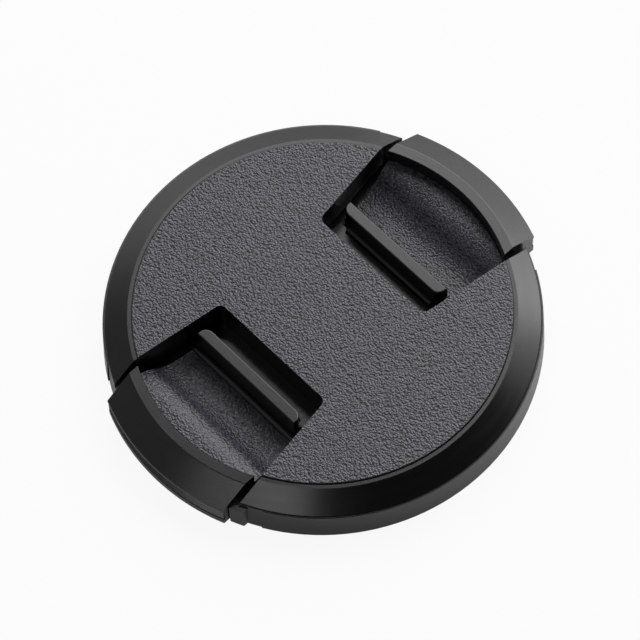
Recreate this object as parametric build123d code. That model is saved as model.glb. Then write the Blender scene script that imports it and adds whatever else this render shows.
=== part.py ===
from build123d import *
import math
import os

# Centre-pinch lens cap for a 72 mm filter thread, lying on its back.
# Millimetres. Z is the optical axis with the front panel on top, the tabs slide along X,
# and the origin is the centre of the plane that the skirt rests on.

# Front plate
thread_radius = 36.0        # filter thread that the tabs hook into
cap_height = 8.4            # skirt's lower edge to the grained panel
thread_clearance = 1.1      # outer wall inside the thread
wall_thickness = 1.6        # outer wall, sloping rim and front slab
wall_draft = 0.3            # how far the outer wall widens from the crease down to the resting plane
skirt_proud = 0.2           # how far the skirt stands out from the wall
skirt_top_gap = 0.2         # rim's crease down to the skirt's top
skirt_setback = 3.5         # window's side to the end of the skirt
skirt_bevel = 0.1           # bevel of the skirt's lower edge
slope_run = 3.9             # sloping rim, from the ledge to the outer wall
slope_drop = 2.4
crease_round = 0.5          # rounding between slope and outer wall
ledge_width = 0.6
panel_rise = 0.25           # grained panel above the ledge around it
panel_bevel = 0.2           # bevel of the panel's edge

# Windows for the tabs
window_start = 10.8         # cap's centre to the window's inner edge
window_half_width = 11.9    # at the inner edge
window_flare = 8.4          # degrees that each side opens outwards, as far as the ledge
window_corner = 1.2
window_wall = 1.2           # thickness of the walls that hang round the window
lip_gap = 0.4               # end of the tab's rim to the lip that closes the window's corner
lip_drop = 0.55             # rim's crease down to that lip
low_lip_height = 3.3        # one lip of each window is lower
lug_fit = 0.1               # lug at the left window's low lip, inside the thread
lug_gap = 0.2               # end of the tab's rim to the lug
lug_width = 2.15

# Pinch tabs, at rest against their outer stops
rest_reach = 0.9            # how far the wall stands past the thread at rest
tab_travel = 3.0
rim_side_gap = 1.05         # end of the tab's rim to the window's side
tab_slope_run = 4.5
tab_slope_drop = 2.8
land_width = 1.75
land_drop = 0.4             # grained panel down to the tab's land
tab_foot = 0.55             # tab's lowest edge above the resting plane
tab_shell = 1.25            # walls of the hollow rim
tab_end_wall = 1.0          # walls that close the hollow at both ends
land_round = 0.3            # rounding of the land's outer edge
rim_bevel = 0.1             # bevel of the rim's other edges
thread_band_lift = 1.35     # tab's lowest edge up to the relief for the fine thread
thread_band_gap = 0.4       # tab's slope down to that relief
thread_depth = 0.3
bar_clearance = 1.1         # bar to the window's edge when pressed home
bar_width = 2.0
bar_side_gap = 0.8          # bar's end to the window's side
bar_drop = 0.8              # grained panel down to the bar's top
bar_corner = 1.6
bar_round = 0.25            # rounding of the bar's top edges
scoop_side = 0.45           # how far the scoop's floor passes the bar's end
scoop_cove = 0.9            # concave foot of the bar's outer face
scoop_flat = 3.1            # flat stretch before the floor sweeps up
scoop_sweep = 7.6           # length of the S-shaped sweep
scoop_lip = 2.7             # land down to the scoop's upper floor
floor_thickness = 0.9
strip_thickness = 1.5       # smooth strip between the window's edge and the bar
strip_cove = 0.8
strip_side_gap = 0.5        # strip's end to the window's side

# Slide, stops and springs
slide_gap = 0.15            # running clearance between sliding faces
stop_gap = 0.05             # clearance left at the stops
plate_bottom = 0.15         # back plate above the resting plane
plate_thickness = 0.8
plate_fit = 0.1             # back plate's edge inside the wall
plate_room = 0.3            # back plate to the tab's outer wall when pressed home
seat_thickness = 1.0        # tab's upright wall that the spring bears on
seat_half_width = 7.0
stop_length = 1.5           # lugs that the seat meets when the tab is pressed home
stop_inner_side = 4.2
stop_width = 2.0
stop_height = 2.6
rail_width = 1.3
rail_start = 4.0
post_half_length = 1.2
post_half_width = 2.9
spigot_radius = 1.2
spigot_length = 1.0
spring_radius = 1.9         # mean radius of the coil
spring_wire = 0.5
spring_turns = 4.5
wire_sides = 6              # the thin wire's section is a polygon, to keep the coil light
spring_end_gap = 0.05
peg_radius = 1.6
peg_tip_radius = 0.9
peg_tip_length = 0.8
peg_fit = 0.05
peg_x = 13.0
peg_y = 23.0

# Heights that follow from the sizes above
ledge_height = cap_height - panel_rise
crease_height = ledge_height - slope_drop
slab_bottom = cap_height - wall_thickness
land_height = cap_height - land_drop
bar_top = cap_height - bar_drop
plate_top = plate_bottom + plate_thickness
slide_bottom = plate_top + slide_gap
strip_top = slide_bottom + strip_thickness
window_wall_foot = strip_top + slide_gap
scoop_floor = slide_bottom + floor_thickness
scoop_upper = land_height - scoop_lip
spring_height = (plate_top + slab_bottom) / 2
every_height = (-cap_height, 2 * cap_height)    # span of a cut right through

# Places in plan that follow from the sizes above
wall_radius = thread_radius - thread_clearance
cavity_radius = wall_radius - wall_thickness
skirt_radius = wall_radius + wall_draft + skirt_proud
ledge_radius = wall_radius - slope_run
panel_radius = ledge_radius - ledge_width
land_outer = thread_radius - tab_slope_run
land_inner = land_outer - land_width
wall_inner = thread_radius - tab_shell
flare = math.tan(math.radians(window_flare))
side_at_axis = window_half_width - window_start * flare
side_stretch = 1 + flare ** 2
flare_end = math.sqrt(side_stretch * ledge_radius ** 2 - side_at_axis ** 2) - flare * side_at_axis
flare_end /= side_stretch   # where the window's side crosses the ledge's outer edge
rim_half_width = side_at_axis + flare_end * flare - rim_side_gap
lip_half_width = rim_half_width + lip_gap
strip_half = window_half_width - strip_side_gap
bar_half_length = window_half_width - bar_side_gap
bar_inner = window_start + tab_travel + bar_clearance
bar_outer = bar_inner + bar_width
seat_outer = window_start - window_wall - stop_gap
seat_inner = seat_outer - seat_thickness
far = 2 * skirt_radius


def block(x_range, y_range, z_range):
    """A box between two corners, given as one (low, high) pair for each axis."""
    spans = [high - low for low, high in (x_range, y_range, z_range)]
    centre = [(high + low) / 2 for low, high in (x_range, y_range, z_range)]
    return Pos(*centre) * Box(*spans)


def upright(*points):
    """A closed face in the XZ plane."""
    return Plane.XZ * make_face(Polyline(*points, close=True))


def corner_at(face, place):
    """The corner of an XZ face that lies nearest to an (x, z) place."""
    x, z = place
    spot = Vector(x, 0, z)
    return min(face.vertices(), key=lambda v: (Vector(*v) - spot).length)


def prism(outline, z_range):
    """Extrude a closed XY face from one height to another."""
    low, high = z_range
    return Pos(0, 0, low) * extrude(outline, high - low, dir=(0, 0, 1))


def across(face, half_width):
    """Extrude an XZ face to both sides of the slide's axis."""
    return extrude(face, half_width, both=True)


def between_ends(half_width):
    """Everything on the right-hand side within a distance from the slide's axis."""
    return block((0, far), (-half_width, half_width), every_height)


def upright_pin(radius, z_range):
    low, high = z_range
    return Pos(0, 0, (low + high) / 2) * Cylinder(radius, high - low)


def lying_pin(radius, x_range):
    """A round pin along X at the height of the springs."""
    low, high = x_range
    return Pos((low + high) / 2, 0, spring_height) * Rot(0, 90, 0) * Cylinder(radius, high - low)


def below_slope(radius, start, run, drop, thickness):
    """Height of the underside of a sloping wall of even thickness, at a radius."""
    slope = drop / run
    start_radius, start_height = start
    return start_height - thickness * math.hypot(1, slope) - slope * (radius - start_radius)


def window_side(x):
    """Distance from the slide's axis to the window's side at x: flared, then straight across the rim."""
    return side_at_axis + min(x, flare_end) * flare


def window_outline(margin):
    """Plan of the right window, grown by a margin, from its rounded inner corners past the rim."""
    inner_x = window_start - margin
    side_margin = margin * math.hypot(1, flare)
    inner_y = window_side(inner_x) + side_margin
    outer_y = window_side(far) + margin
    turn_x = flare_end - margin * math.tan(math.radians(window_flare) / 2)
    side = [(inner_x, inner_y), (turn_x, outer_y), (far, outer_y)]
    other_side = [(x, -y) for x, y in reversed(side)]
    outline = make_face(Polyline(*side, *other_side, close=True))
    corners = outline.vertices().sort_by(Axis.X)[:2]
    return fillet(corners, window_corner + margin)


def both_ends(shape):
    return shape + Rot(0, 0, 180) * shape


def peg_places():
    return [(sx * peg_x, sy * peg_y) for sx in (-1, 1) for sy in (-1, 1)]


def front_plate():
    """Body of the cap: a thin shell with two windows, each hung round with a wall."""
    slope = slope_drop / slope_run
    slope_start = (ledge_radius, ledge_height)
    slope_under = below_slope(cavity_radius, slope_start, slope_run, slope_drop, wall_thickness)
    slab_edge = cavity_radius - (slab_bottom - slope_under) / slope
    filled = upright(
        (0, cap_height),
        (panel_radius, cap_height),
        (panel_radius, ledge_height),
        (ledge_radius, ledge_height),
        (wall_radius, crease_height),
        (wall_radius + wall_draft, 0),
        (0, 0),
    )
    filled = chamfer(corner_at(filled, (panel_radius, cap_height)), panel_bevel)
    filled = fillet(corner_at(filled, (wall_radius, crease_height)), crease_round)
    filled = revolve(filled, Axis.Z)
    ceiling = [(0, slab_bottom), (slab_edge, slab_bottom), (cavity_radius, slope_under)]
    hollow = upright(*ceiling, (cavity_radius, 0), (0, 0))
    body = filled - revolve(hollow, Axis.Z)
    window_walls = prism(window_outline(window_wall), (window_wall_foot, cap_height))
    body += both_ends(window_walls) & filled

    # The proud skirt runs round both closed sides and stops short of the windows.
    skirt_top = crease_height - skirt_top_gap
    top_radius = skirt_radius - wall_draft * skirt_top / crease_height
    band = upright(
        (cavity_radius, 0), (skirt_radius, 0), (top_radius, skirt_top), (cavity_radius, skirt_top)
    )
    band = chamfer(corner_at(band, (skirt_radius, 0)), skirt_bevel)
    skirt_end = window_side(wall_radius) + skirt_setback
    body += revolve(band, Axis.Z) - block((-far, far), (-skirt_end, skirt_end), every_height)

    # Low lips stay in the window's outer corners, and the tab passes between them.
    lip_height = crease_height - lip_drop
    lips = prism(Circle(far) - Circle(cavity_radius), (-cap_height, lip_height))
    lips -= between_ends(lip_half_width)
    lips -= block((0, far), (0, far), (low_lip_height, cap_height))
    body -= both_ends(prism(window_outline(0), every_height) - lips)

    # A single lug stands out from the wall beside the left tab.
    lug_start = rim_half_width + lug_gap
    lug = prism(Circle(thread_radius - lug_fit) - Circle(wall_radius), (0, lip_height))
    lug &= block((0, far), (lug_start, lug_start + lug_width), every_height)
    body += Rot(0, 0, 180) * lug

    peg_hole = upright_pin(peg_tip_radius + peg_fit, (0, slab_bottom + peg_tip_length + peg_fit))
    for x, y in peg_places():
        body -= Pos(x, y) * peg_hole
    return body


def scoop_curve(drop):
    """Side view of the scoop's floor, from the bar's foot: flat, S-shaped sweep, upper floor."""
    low = scoop_floor - drop
    high = scoop_upper - drop
    flat_start = bar_outer + scoop_cove
    sweep_start = flat_start + scoop_flat
    sweep_end = sweep_start + scoop_sweep
    middle = ((sweep_start + sweep_end) / 2, (low + high) / 2)
    flat = Line((flat_start, low), (sweep_start, low))
    rise = TangentArc((sweep_start, low), middle, tangent=(1, 0))
    level = TangentArc(middle, (sweep_end, high), tangent=rise % 1)
    return [flat, rise, level, Line((sweep_end, high), (thread_radius, high))]


def tab_rim():
    """Land, slope and outer wall of the tab: turned about its axis, and hollow between two end walls."""
    slope_foot = land_height - tab_slope_drop
    band_top = slope_foot - thread_band_gap
    band_foot = tab_foot + thread_band_lift
    band_radius = thread_radius - thread_depth
    land_back = land_inner + tab_shell
    floor_under = scoop_upper - floor_thickness

    def under(radius):
        return below_slope(radius, (land_outer, land_height), tab_slope_run, tab_slope_drop, tab_shell)

    profile = upright(
        (land_inner, slide_bottom),
        (land_inner, land_height),
        (land_outer, land_height),
        (thread_radius, slope_foot),
        (thread_radius, band_top),
        (band_radius, band_top),
        (band_radius, band_foot),
        (thread_radius, band_foot),
        (thread_radius, tab_foot),
        (wall_inner, tab_foot),
        (wall_inner, slide_bottom),
    )
    profile = fillet(corner_at(profile, (land_outer, land_height)), land_round)
    profile = chamfer(corner_at(profile, (land_inner, land_height)), rim_bevel)
    profile = chamfer(corner_at(profile, (thread_radius, slope_foot)), rim_bevel)
    hollow = upright(
        (land_inner - tab_shell, floor_under),
        (land_back, floor_under),
        (land_back, under(land_back)),
        (wall_inner, under(wall_inner)),
        (wall_inner, 0),
        (land_inner - tab_shell, 0),
    )
    rim = revolve(profile, Axis.Z) & between_ends(rim_half_width)
    rim -= revolve(hollow, Axis.Z) & between_ends(rim_half_width - tab_end_wall)
    return Pos(rest_reach, 0) * rim


def tab_scoop():
    """Finger scoop: a thin curved floor whose sides follow the window's flare."""
    top = scoop_curve(0)
    under = scoop_curve(floor_thickness)
    wall_face = bar_outer - bar_width / 2
    cove_top = scoop_floor + scoop_cove
    cove = RadiusArc((bar_outer, cove_top), top[0] @ 0, -scoop_cove)
    edges = [
        Line((wall_face, slide_bottom), (wall_face, cove_top)),
        Line((wall_face, cove_top), (bar_outer, cove_top)),
        cove,
        *top,
        Line(top[-1] @ 1, under[-1] @ 1),
        *under,
        Line((wall_face, slide_bottom), under[0] @ 0),
    ]
    end = rest_reach + thread_radius
    start_y = bar_half_length + scoop_side
    end_y = start_y + (end - bar_outer) * flare
    side = [(wall_face, start_y), (bar_outer, start_y), (end, end_y)]
    other_side = [(x, -y) for x, y in reversed(side)]
    plan = make_face(Polyline(*side, *other_side, close=True))
    plan &= Pos(rest_reach, 0) * Circle(land_inner + tab_shell / 2)
    return across(Plane.XZ * make_face(edges), far) & prism(plan, every_height)


def tab_bar():
    """Upright bar that the finger pulls, with rounded corners towards the cap's centre."""
    outline = Pos(bar_inner + bar_width / 2, 0) * Rectangle(bar_width, 2 * bar_half_length)
    corners = outline.vertices().sort_by(Axis.X)[:2]
    bar = prism(fillet(corners, bar_corner), (slide_bottom, bar_top))
    return fillet(bar.faces().sort_by(Axis.Z)[-1].edges(), bar_round)


def tab_slide():
    """Strip that runs in under the window's wall, and the upright seat for the spring."""
    cove_top = strip_top + strip_cove
    middle = bar_inner + bar_width / 2
    cove_start = bar_inner - strip_cove
    cove = RadiusArc((cove_start, strip_top), (bar_inner, cove_top), strip_cove)
    foot = make_face([
        cove,
        Line((bar_inner, cove_top), (middle, cove_top)),
        Line((middle, cove_top), (middle, slide_bottom)),
        Line((middle, slide_bottom), (cove_start, slide_bottom)),
        Line((cove_start, slide_bottom), (cove_start, strip_top)),
    ])
    slide = across(Plane.XZ * foot, bar_half_length - bar_corner)
    slide += block((seat_inner, bar_inner), (-strip_half, strip_half), (slide_bottom, strip_top))
    seat_top = slab_bottom - slide_gap
    slide += block((seat_inner, seat_outer), (-seat_half_width, seat_half_width), (slide_bottom, seat_top))
    slide += lying_pin(spigot_radius, (seat_inner - spigot_length, seat_outer))
    return slide


def pinch_tab():
    """The right tab, in one piece: the scoop is cut off square at both ends, like the rim."""
    scoop = tab_scoop() & between_ends(rim_half_width)
    return tab_rim() + scoop + tab_bar() + tab_slide()


def back_plate():
    """Disc that closes the back, with pegs into the slab, guide rails, stop lugs and spring post."""
    radius = cavity_radius - plate_fit
    disc = upright_pin(radius, (plate_bottom, plate_top))
    # Room for the tab's outer wall when the tab is pressed home.
    pressed_axis = rest_reach - tab_travel
    inside = Pos(pressed_axis, 0) * upright_pin(wall_inner - plate_room, every_height)
    disc -= both_ends(between_ends(lip_half_width) - inside)

    for x, y in peg_places():
        peg = upright_pin(peg_radius, (plate_bottom, slab_bottom))
        peg += upright_pin(peg_tip_radius, (plate_bottom, slab_bottom + peg_tip_length))
        disc += Pos(x, y) * peg

    post_x = (-post_half_length, post_half_length)
    disc += block(post_x, (-post_half_width, post_half_width), (plate_bottom, slab_bottom))
    pin_end = post_half_length + spigot_length
    disc += lying_pin(spigot_radius, (-pin_end, pin_end))

    rail_y = strip_half + slide_gap
    stop_outer = seat_inner - tab_travel - stop_gap
    for side in (-1, 1):
        rail = sorted((side * rail_y, side * (rail_y + rail_width)))
        lug = sorted((side * stop_inner_side, side * (stop_inner_side + stop_width)))
        guides = block((rail_start, window_start), rail, (plate_bottom, strip_top))
        stop = (stop_outer - stop_length, stop_outer)
        guides += block(stop, lug, (plate_bottom, plate_top + stop_height))
        disc += both_ends(guides)
    return disc


def spring():
    """Compression coil between the post and the right tab's spring seat."""
    start = post_half_length + spring_wire / 2 + spring_end_gap
    length = seat_inner - spring_wire / 2 - spring_end_gap - start
    pitch = length / spring_turns
    path = Helix(pitch, length, spring_radius, center=(start, 0, spring_height), direction=(1, 0, 0))
    section = Plane(path @ 0, z_dir=path % 0) * RegularPolygon(spring_wire / 2, wire_sides)
    return sweep(section, path, is_frenet=True)


os.makedirs("parts", exist_ok=True)
half_turn = Rot(0, 0, 180)
tab = pinch_tab()
coil = spring()
nodes = {
    "front_plate": front_plate(),
    "back_plate": back_plate(),
    "right_pinch_tab": tab,
    "left_pinch_tab": half_turn * tab,
    "right_spring": coil,
    "left_spring": half_turn * coil,
}
for name, shape in nodes.items():
    export_step(shape, f"parts/{name}.step")
    box = shape.bounding_box()
    print(name, "volume", round(shape.volume, 1), "from", box.min, "to", box.max)
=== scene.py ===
# %% [markdown]
# A centre-pinch lens cap, dressed for a studio picture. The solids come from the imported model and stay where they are.
# This lesson gives them their plastics, adds the fine threads on the tabs, winds the hidden springs, and sets light
# and camera. Lengths are in metres, so one millimetre is written as 1 * mm.

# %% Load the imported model
import math
import bpy
import bmesh
from mathutils import Matrix, Vector


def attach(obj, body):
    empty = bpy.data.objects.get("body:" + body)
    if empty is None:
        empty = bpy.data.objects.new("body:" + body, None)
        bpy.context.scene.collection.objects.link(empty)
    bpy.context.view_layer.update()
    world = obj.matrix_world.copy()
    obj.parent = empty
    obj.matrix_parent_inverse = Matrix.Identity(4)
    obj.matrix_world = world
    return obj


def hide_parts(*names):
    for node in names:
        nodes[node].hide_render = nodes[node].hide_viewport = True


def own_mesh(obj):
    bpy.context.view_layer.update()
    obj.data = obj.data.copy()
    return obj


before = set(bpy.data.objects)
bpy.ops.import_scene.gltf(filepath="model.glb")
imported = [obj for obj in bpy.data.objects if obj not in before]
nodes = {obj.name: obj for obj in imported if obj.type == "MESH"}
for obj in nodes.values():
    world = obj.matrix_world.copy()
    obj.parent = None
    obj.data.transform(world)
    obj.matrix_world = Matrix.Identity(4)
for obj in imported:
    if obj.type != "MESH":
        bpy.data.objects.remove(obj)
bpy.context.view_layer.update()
mm = 0.001
print("nodes:", sorted(nodes))

# %% [markdown]
# The camera could be aimed by eye, but a round cap with straight windows gives its own ruler: the ellipses of its edges
# fix the height of the view, and the windows fix how far the cap is turned. The angles below come from that reading.
# A long lens keeps the far edge nearly as large as the near one, as in a catalogue picture.

# %% Camera
view_elevation = math.radians(63.43)
view_azimuth = math.radians(-41.09)
view_roll = math.radians(-3.13)
view_distance = 561.9 * mm
focal_pixels = 3500
image_pixels = 640
aim_right = -0.576 * mm
aim_up = 1.952 * mm

level_right = Vector((math.cos(view_azimuth), math.sin(view_azimuth), 0))
level_away = Vector((-math.sin(view_azimuth), math.cos(view_azimuth), 0))
backward = Vector((0, 0, math.sin(view_elevation))) - level_away * math.cos(view_elevation)
level_up = backward.cross(level_right)
right = level_right * math.cos(view_roll) + level_up * math.sin(view_roll)
up = backward.cross(right)

camera = bpy.data.objects.new("camera", bpy.data.cameras.new("camera"))
bpy.context.scene.collection.objects.link(camera)
camera.data.sensor_width = 36
camera.data.lens = camera.data.sensor_width * focal_pixels / image_pixels
camera.data.clip_start = 10 * mm
camera_place = backward * view_distance + right * aim_right + up * aim_up
camera.matrix_world = Matrix.Translation(camera_place) @ Matrix((right, up, backward)).transposed().to_4x4()
bpy.context.scene.camera = camera
print("camera at", [round(v, 4) for v in camera_place], "with a lens of", round(camera.data.lens, 1), "mm")

# %% [markdown]
# Shader maths reads best as plain Python. One small class wraps a socket, and each operator on it adds one Math node.
# A second class holds a material and makes every other kind of node, its settings first and then its inputs.

# %% Sums of sockets
class Wire:
    """A socket that can stand in a Python sum."""

    def __init__(self, socket):
        self.socket = socket

    def maths(self, operation, *values):
        node = self.socket.id_data.nodes.new("ShaderNodeMath")
        node.operation = operation
        for slot, value in zip(node.inputs, values):
            plug(slot, value)
        return Wire(node.outputs[0])

    def __add__(self, other): return self.maths("ADD", self, other)
    def __radd__(self, other): return self.maths("ADD", other, self)
    def __sub__(self, other): return self.maths("SUBTRACT", self, other)
    def __rsub__(self, other): return self.maths("SUBTRACT", other, self)
    def __mul__(self, other): return self.maths("MULTIPLY", self, other)
    def __rmul__(self, other): return self.maths("MULTIPLY", other, self)
    def __abs__(self): return self.maths("ABSOLUTE", self)

    def root(self): return self.maths("SQRT", self)
    def angle_from(self, other): return self.maths("ARCTAN2", self, other)


def plug(slot, value):
    """Give a socket a link or a plain value."""
    if isinstance(value, Wire):
        slot.id_data.links.new(value.socket, slot)
    else:
        slot.default_value = value


print("sockets can be added and multiplied")

# %% Materials and their nodes
class Finish:
    """A material or the world, and the nodes in it."""

    def __init__(self, owner):
        owner.use_nodes = True
        self.owner = owner
        self.tree = owner.node_tree
        self.tree.nodes.clear()

    def node(self, kind, settings, inputs, output=0):
        """One node: its settings are set first, then each input by name or number."""
        made = self.tree.nodes.new("ShaderNode" + kind)
        for name, value in settings.items():
            setattr(made, name, value)
        for name, value in inputs.items():
            plug(made.inputs[name], value)
        return Wire(made.outputs[output]) if len(made.outputs) else None

    def spot(self):
        """Place on the object in millimetres."""
        place = self.node("TexCoord", {}, {}, "Object")
        return self.node("VectorMath", {"operation": "SCALE"}, {"Vector": place, "Scale": 1 / mm})

    def along(self, spot):
        """The x, y and z of a place."""
        x = self.node("SeparateXYZ", {}, {"Vector": spot}, "X")
        return x, Wire(x.socket.node.outputs["Y"]), Wire(x.socket.node.outputs["Z"])

    def ease(self, value, low, high):
        """0 at low, 1 at high, and a soft step between."""
        limits = {"Value": value, "From Min": low, "From Max": high}
        return self.node("MapRange", {"interpolation_type": "SMOOTHSTEP"}, limits)

    def facing(self, direction, way):
        """How nearly a direction points one way, 1 where it does."""
        return self.node("VectorMath", {"operation": "DOT_PRODUCT"}, {0: direction, 1: way}, "Value")

    def noise(self, place, size, detail=2.0, output=0):
        """Soft noise whose lumps are about one size wide, in the place's own units."""
        return self.node("TexNoise", {}, {"Vector": place, "Scale": 1 / size, "Detail": detail}, output)

    def mix(self, share, first, second):
        """A colour between two others."""
        return self.node("Mix", {"data_type": "RGBA"}, {0: share, 6: first, 7: second}, 2)

    def done(self, shader):
        """The shader goes to the output, and the owner is ready."""
        output = "OutputWorld" if isinstance(self.owner, bpy.types.World) else "OutputMaterial"
        self.node(output, {}, {"Surface": shader})
        return self.owner


print("materials can be written as functions")

# %% [markdown]
# The cap is moulded in black plastic with two finishes. The panel and the scoops carry a fine leather grain, pressed
# by an etched mould, and everything else is satin. The grain could be cut into the mesh, but its cells are about a
# third of a millimetre wide, so a bump gives the same light with no more faces. It is made of cells that a slow noise
# has pulled out of shape.

# %% Leather grain
grain_cell = 0.34           # mm, width of one cell
grain_pull = 0.24           # mm, how far the slow noise moves the cells
grain_fine = 0.16           # mm, fine roughness on the cells
grain_depth = 0.11          # mm, for a height of 1


def leather(finish, spot):
    """Height of the grain, about 0 to 1."""
    pull = finish.noise(spot, 1.2 * grain_cell, 1.0, "Color")
    pull = finish.node("VectorMath", {"operation": "SCALE"}, {"Vector": pull, "Scale": grain_pull})
    pulled = finish.node("VectorMath", {"operation": "ADD"}, {0: spot, 1: pull})
    cell = {"Vector": pulled, "Scale": 1 / grain_cell, "Smoothness": 0.5}
    cells = finish.node("TexVoronoi", {"feature": "SMOOTH_F1"}, cell)
    return 1.0 - cells * 1.2 + finish.noise(spot, grain_fine) * 0.5


print("grain cells are", grain_cell, "mm wide")

# %% [markdown]
# Satin plastic isn't quite even: the mould's polishing marks run round the rim, and handling leaves duller patches.
# Painting them would tie them to one view, so noise is stretched round the axis instead: in polar coordinates a streak
# is simply a noise that changes fast with the radius and slowly with the angle.

# %% Satin with polishing marks
def polishing(finish, x, y, z):
    """Streaks that run round the optical axis, 0 to 1."""
    radius = (x * x + y * y).root()
    turn = y.angle_from(x)
    place = finish.node("CombineXYZ", {}, {"X": radius * 2.5 + z * 2.5, "Y": turn * 2.0})
    return finish.noise(place, 1.0, 4.0)


satin_colour = (0.0028, 0.0028, 0.0030, 1)
satin_worn_colour = (0.0048, 0.0048, 0.0050, 1)
# Painted light and shade on the grain: its tops are coloured lighter and its hollows darker.
grain_top_painted_light_colour = (0.048, 0.0455, 0.062, 1)
grain_hollow_painted_shade_colour = (0.005, 0.0048, 0.0065, 1)
plastic_index = 1.58        # refraction, which sets how brightly the plastic mirrors the soft boxes
satin_roughness = 0.19      # at its smoothest; streaks and patches dull it
streak_dulling = 0.08
patch_dulling = 0.04
grain_roughness = 0.31


def moulded_plastic(name, grained):
    """Black plastic: grained where the mask is 1, satin where it is 0."""
    finish = Finish(bpy.data.materials.new(name))
    spot = finish.spot()
    x, y, z = finish.along(spot)
    mask = grained(finish, x, y, z)
    height = leather(finish, spot)
    streaks = polishing(finish, x, y, z)
    patches = finish.noise(spot, 9.0, 3.0)
    satin = finish.mix(finish.ease(streaks * patches, 0.2, 0.5), satin_colour, satin_worn_colour)
    # Painted light and shade: the grain's colour runs from its dark hollows to its light tops with the height.
    grain = finish.mix(finish.ease(height, 0.35, 0.85), grain_hollow_painted_shade_colour, grain_top_painted_light_colour)
    satin_rough = satin_roughness + streaks * streak_dulling + patches * patch_dulling
    relief = mask * height + (1.0 - mask) * (0.04 * streaks + 0.03 * finish.noise(spot, 0.5))
    bump = finish.node("Bump", {}, {"Strength": 1.0, "Distance": grain_depth * mm, "Height": relief})
    plastic = {
        "Base Color": finish.mix(mask, satin, grain),
        "Roughness": satin_rough + mask * (grain_roughness - satin_rough),
        "IOR": plastic_index,
        "Normal": bump,
    }
    return finish.done(finish.node("BsdfPrincipled", {}, plastic))


print("satin is", satin_colour[:3], "and the grain's tops are", grain_top_painted_light_colour[:3])

# %% [markdown]
# Which faces are grained is a question of place. On the body it is the raised panel alone, so everything at the panel's
# height and inside its edge. On a tab it is the scoop: outside the bar's foot and inside the curved wall of the rim.
# The masks read each object's own coordinates, so they travel with a tab when it slides.

# %% Body
panel_radius = 30.2         # mm
panel_height = 8.4


def panel_mask(finish, x, y, z):
    radius = (x * x + y * y).root()
    inside = 1.0 - finish.ease(radius, panel_radius - 0.1, panel_radius + 0.1)
    return inside * finish.ease(z, panel_height - 0.06, panel_height - 0.02)


body_plastic = moulded_plastic("body_plastic", panel_mask)
nodes["front_plate"].data.materials[0] = body_plastic
print("body finished with", len(body_plastic.node_tree.nodes), "nodes")

# %% Tabs
rim_centre = 0.9            # mm, the rim's axis lies this far out along the slide
rim_inner_radius = 29.75
bar_foot = 17.75
scoop_top = 5.45


def scoop_mask(finish, x, y, z):
    out = abs(x) - rim_centre
    inside = 1.0 - finish.ease((out * out + y * y).root(), rim_inner_radius - 0.12, rim_inner_radius - 0.04)
    past_bar = finish.ease(abs(x), bar_foot - 0.05, bar_foot + 0.1)
    below_land = 1.0 - finish.ease(z, scoop_top, scoop_top + 0.1)
    return inside * past_bar * below_land


tab_plastic = moulded_plastic("tab_plastic", scoop_mask)
for name in ("right_pinch_tab", "left_pinch_tab"):
    nodes[name].data.materials[0] = tab_plastic
print("tabs finished with", len(tab_plastic.node_tree.nodes), "nodes")

# %% Back plate
def no_grain(finish, x, y, z):
    return z * 0.0


back_plastic = moulded_plastic("back_plastic", no_grain)
nodes["back_plate"].data.materials[0] = back_plastic
print("back plate finished")

# %% [markdown]
# The fine thread on each tab could be a bump, but its ridges show against the light, so they are real: four ridges
# with a sharp section, each swept round the rim's axis, lie in the shallow band that the solids leave for them. The
# springs are wound again in round wire, since the solids' wire has six sides. The real springs shorten with the
# slide, but these are hung on the cap and keep their length.

# %% Sweeping a section
def swept(name, rings):
    """A mesh from a row of rings of points: neighbours are joined, and both ends are closed."""
    mesh = bmesh.new()
    rows = [[mesh.verts.new(point) for point in ring] for ring in rings]
    for row, following in zip(rows, rows[1:]):
        for i in range(len(row)):
            j = (i + 1) % len(row)
            mesh.faces.new((row[i], row[j], following[j], following[i]))
    mesh.faces.new(reversed(rows[0]))
    mesh.faces.new(rows[-1])
    bmesh.ops.recalc_face_normals(mesh, faces=mesh.faces)
    data = bpy.data.meshes.new(name)
    mesh.to_mesh(data)
    mesh.free()
    piece = bpy.data.objects.new(name, data)
    bpy.context.scene.collection.objects.link(piece)
    return piece


print("sections can be swept")

# %% Thread ridges
thread_crest = 35.97        # mm from the rim's axis
thread_root = 35.62
thread_pitch = 0.75
thread_middle = 3.35        # mm above the resting plane
thread_count = 4
rim_half_width = 13.25
thread_steps = 60
section = ((thread_root, -0.25), (thread_crest, -0.05), (thread_crest, 0.05), (thread_root, 0.25))
half_turn = math.asin(rim_half_width / thread_crest)


def thread_ring(turn, start, sign):
    """One section of a ridge, at an angle round the rim's axis."""
    rise = start + thread_pitch * turn / math.tau
    return [
        Vector((sign * (rim_centre + radius * math.cos(turn)), sign * radius * math.sin(turn), rise + lift)) * mm
        for radius, lift in section
    ]


turns = [half_turn * (2 * i / thread_steps - 1) for i in range(thread_steps + 1)]
for side, sign in (("right", 1), ("left", -1)):
    for number in range(thread_count):
        start = thread_middle + (number - (thread_count - 1) / 2) * thread_pitch
        ridge = swept(f"{side}_thread_{number + 1}", [thread_ring(turn, start, sign) for turn in turns])
        ridge.data.materials.append(tab_plastic)
        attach(ridge, side + "_tab")
print(2 * thread_count, "ridges,", thread_pitch, "mm apart")

# %% Springs
spring_start, spring_end = 1.5, 8.25    # mm along the slide, middle of the wire
spring_radius = 1.9
spring_height = 3.875
spring_turns = 4.5
wire_radius = 0.21
spring_steps = 32
wire_sides = 10

steel = Finish(bpy.data.materials.new("spring_steel"))
drawn = steel.noise(steel.spot(), 0.3)
wire_look = {"Base Color": (0.56, 0.55, 0.53, 1), "Metallic": 1.0, "Roughness": 0.22 + drawn * 0.2}
spring_steel = steel.done(steel.node("BsdfPrincipled", {}, wire_look))


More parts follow.
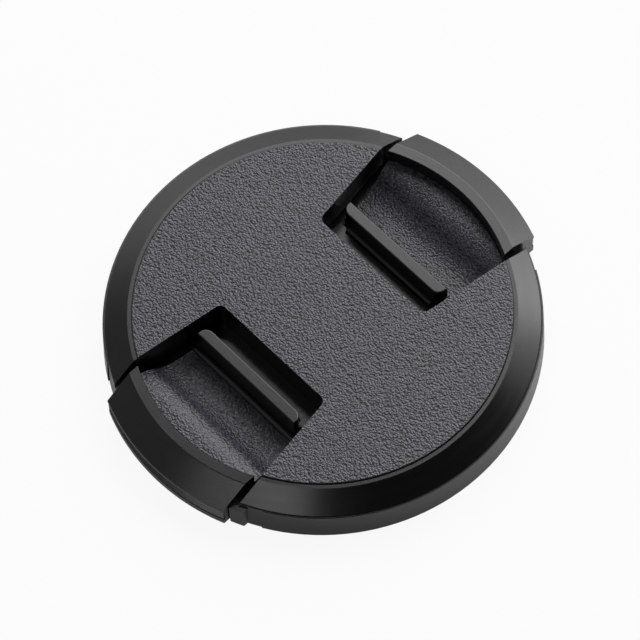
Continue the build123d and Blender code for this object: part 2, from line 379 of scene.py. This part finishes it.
def wire_ring(share, sign):
    """One section of the wire, square to the coil, at a share of its length."""
    turn = math.tau * spring_turns * share
    outward = Vector((0, math.cos(turn), math.sin(turn)))
    lead = (spring_end - spring_start) / (math.tau * spring_turns)
    forward = Vector((lead, -spring_radius * math.sin(turn), spring_radius * math.cos(turn))).normalized()
    sideways = forward.cross(outward)
    reach = spring_start + (spring_end - spring_start) * share
    middle = Vector((reach, 0, spring_height)) + outward * spring_radius
    ring = []
    for i in range(wire_sides):
        angle = math.tau * i / wire_sides
        x, y, z = middle + (outward * math.cos(angle) + sideways * math.sin(angle)) * wire_radius
        ring.append(Vector((sign * x, sign * y, z)) * mm)
    return ring


ring_count = round(spring_turns * spring_steps)
for side, sign in (("right", 1), ("left", -1)):
    coil = swept(f"{side}_coil", [wire_ring(i / ring_count, sign) for i in range(ring_count + 1)])
    coil.data.shade_smooth()
    coil.data.materials.append(spring_steel)
    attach(coil, "cap")
    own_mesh(coil)
    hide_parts(side + "_spring")

# %% [markdown]
# The floor is a plain white sheet. To the camera it is nearly pure white, as in a catalogue, and takes only a little
# of the cap's shadow. What the walls mirror is the sheet close by, which lies in that shadow, so reflections see less
# of the white.

# %% Floor
floor_size = 4.0
floor_gap = 0.02 * mm       # keeps the skirt's edge clear of the sheet
white_to_camera = 0.92
white_in_mirrors = 0.17
bpy.ops.mesh.primitive_plane_add(size=floor_size, location=(0, 0, -floor_gap))
floor = bpy.context.object
floor.name = "floor"
paper = Finish(bpy.data.materials.new("white_paper"))
seen = paper.node("LightPath", {}, {}, "Is Camera Ray")
glossy = Wire(seen.socket.node.outputs["Is Glossy Ray"])
through = Wire(seen.socket.node.outputs["Is Transmission Ray"])
sheet = paper.node("BsdfDiffuse", {}, {"Color": (0.75, 0.75, 0.75, 1)})
white = paper.node("Emission", {}, {"Color": (1, 1, 1, 1), "Strength": 1.0})
share = seen * white_to_camera + (glossy + through) * white_in_mirrors
floor.data.materials.append(paper.done(paper.node("MixShader", {}, {"Fac": share, 1: sheet, 2: white})))
print("floor is", floor_size, "m wide")

# %% [markdown]
# Light comes from soft boxes, each an area lamp that faces the cap. Each is given by where it stands as the camera sees
# it: how far round from the right towards the back, and how high. One wide box behind at the right does most of the
# work. Its upper edge is mirrored just where the flat panel looks, so every facet of the grain is either in it or out
# of it, and that is what makes the grain sparkle. A dim strip below it carries the light down to the floor, and a
# narrow strip at the front left draws the short highlight beside the lower tab.

# %% Soft boxes
lamp_distance = 0.9


def toward(round_from_right, height):
    """A direction by its angles as the camera sees them, in degrees."""
    turn, rise = math.radians(round_from_right), math.radians(height)
    level = level_right * math.cos(turn) + level_away * math.sin(turn)
    return level * math.cos(rise) + Vector((0, 0, math.sin(rise)))


def softbox(name, round_from_right, height, width, tall, radiance):
    """An area lamp that faces the cap, hidden from the camera itself."""
    lamp = bpy.data.lights.new(name, "AREA")
    lamp.shape = "RECTANGLE"
    lamp.size = width
    lamp.size_y = tall
    lamp.energy = radiance * math.pi * width * tall
    holder = bpy.data.objects.new(name, lamp)
    bpy.context.scene.collection.objects.link(holder)
    way = toward(round_from_right, height)
    facing_cap = way.to_track_quat("Z", "Y").to_matrix().to_4x4()
    holder.matrix_world = Matrix.Translation(way * lamp_distance) @ facing_cap
    holder.visible_camera = False
    print(name, "stands at", [round(v, 2) for v in holder.location], "with", round(lamp.energy, 2), "W")


softbox("back_box", 62, 39.8, 1.40, 0.92, 3.25)
softbox("low_strip", 59, 7, 0.72, 0.16, 1.6)
softbox("front_strip", 233, 50.5, 0.55, 0.17, 2.5)

# %% [markdown]
# The room is dark but for three soft glows: a low wall behind, the right-hand end of the wide box, and a faint pale
# side on the left. The satin slopes mirror them as slow gradients. A picture of a studio would do the same, but a glow
# is only a soft step over the angle to its middle, and it reads no file. To the camera itself the room is white, like
# the floor.

# %% Room
world = bpy.data.worlds.new("room")
bpy.context.scene.world = world
room = Finish(world)
direction = room.node("TexCoord", {}, {}, "Generated")
height = room.along(direction)[2]
wall_top = 1.0 - room.ease(height, 0.05, 0.35)
wall_glow = room.ease(room.facing(direction, toward(120, 7)), 0.87, 1.0) * wall_top
right_glow = room.ease(room.facing(direction, toward(25, 27)), 0.89, 1.0)
left_glow = room.ease(room.facing(direction, toward(160, 32)), 0.5, 1.0)
brightness = 0.03 + wall_glow * 1.1 + right_glow * 1.25 + left_glow * 0.24
seen = room.node("LightPath", {}, {}, "Is Camera Ray")
glow = room.mix(seen, brightness, (1, 1, 1, 1))
room.done(room.node("Background", {}, {"Color": glow, "Strength": 1.0}))
bpy.context.scene.view_settings.view_transform = "Standard"
print("room set")
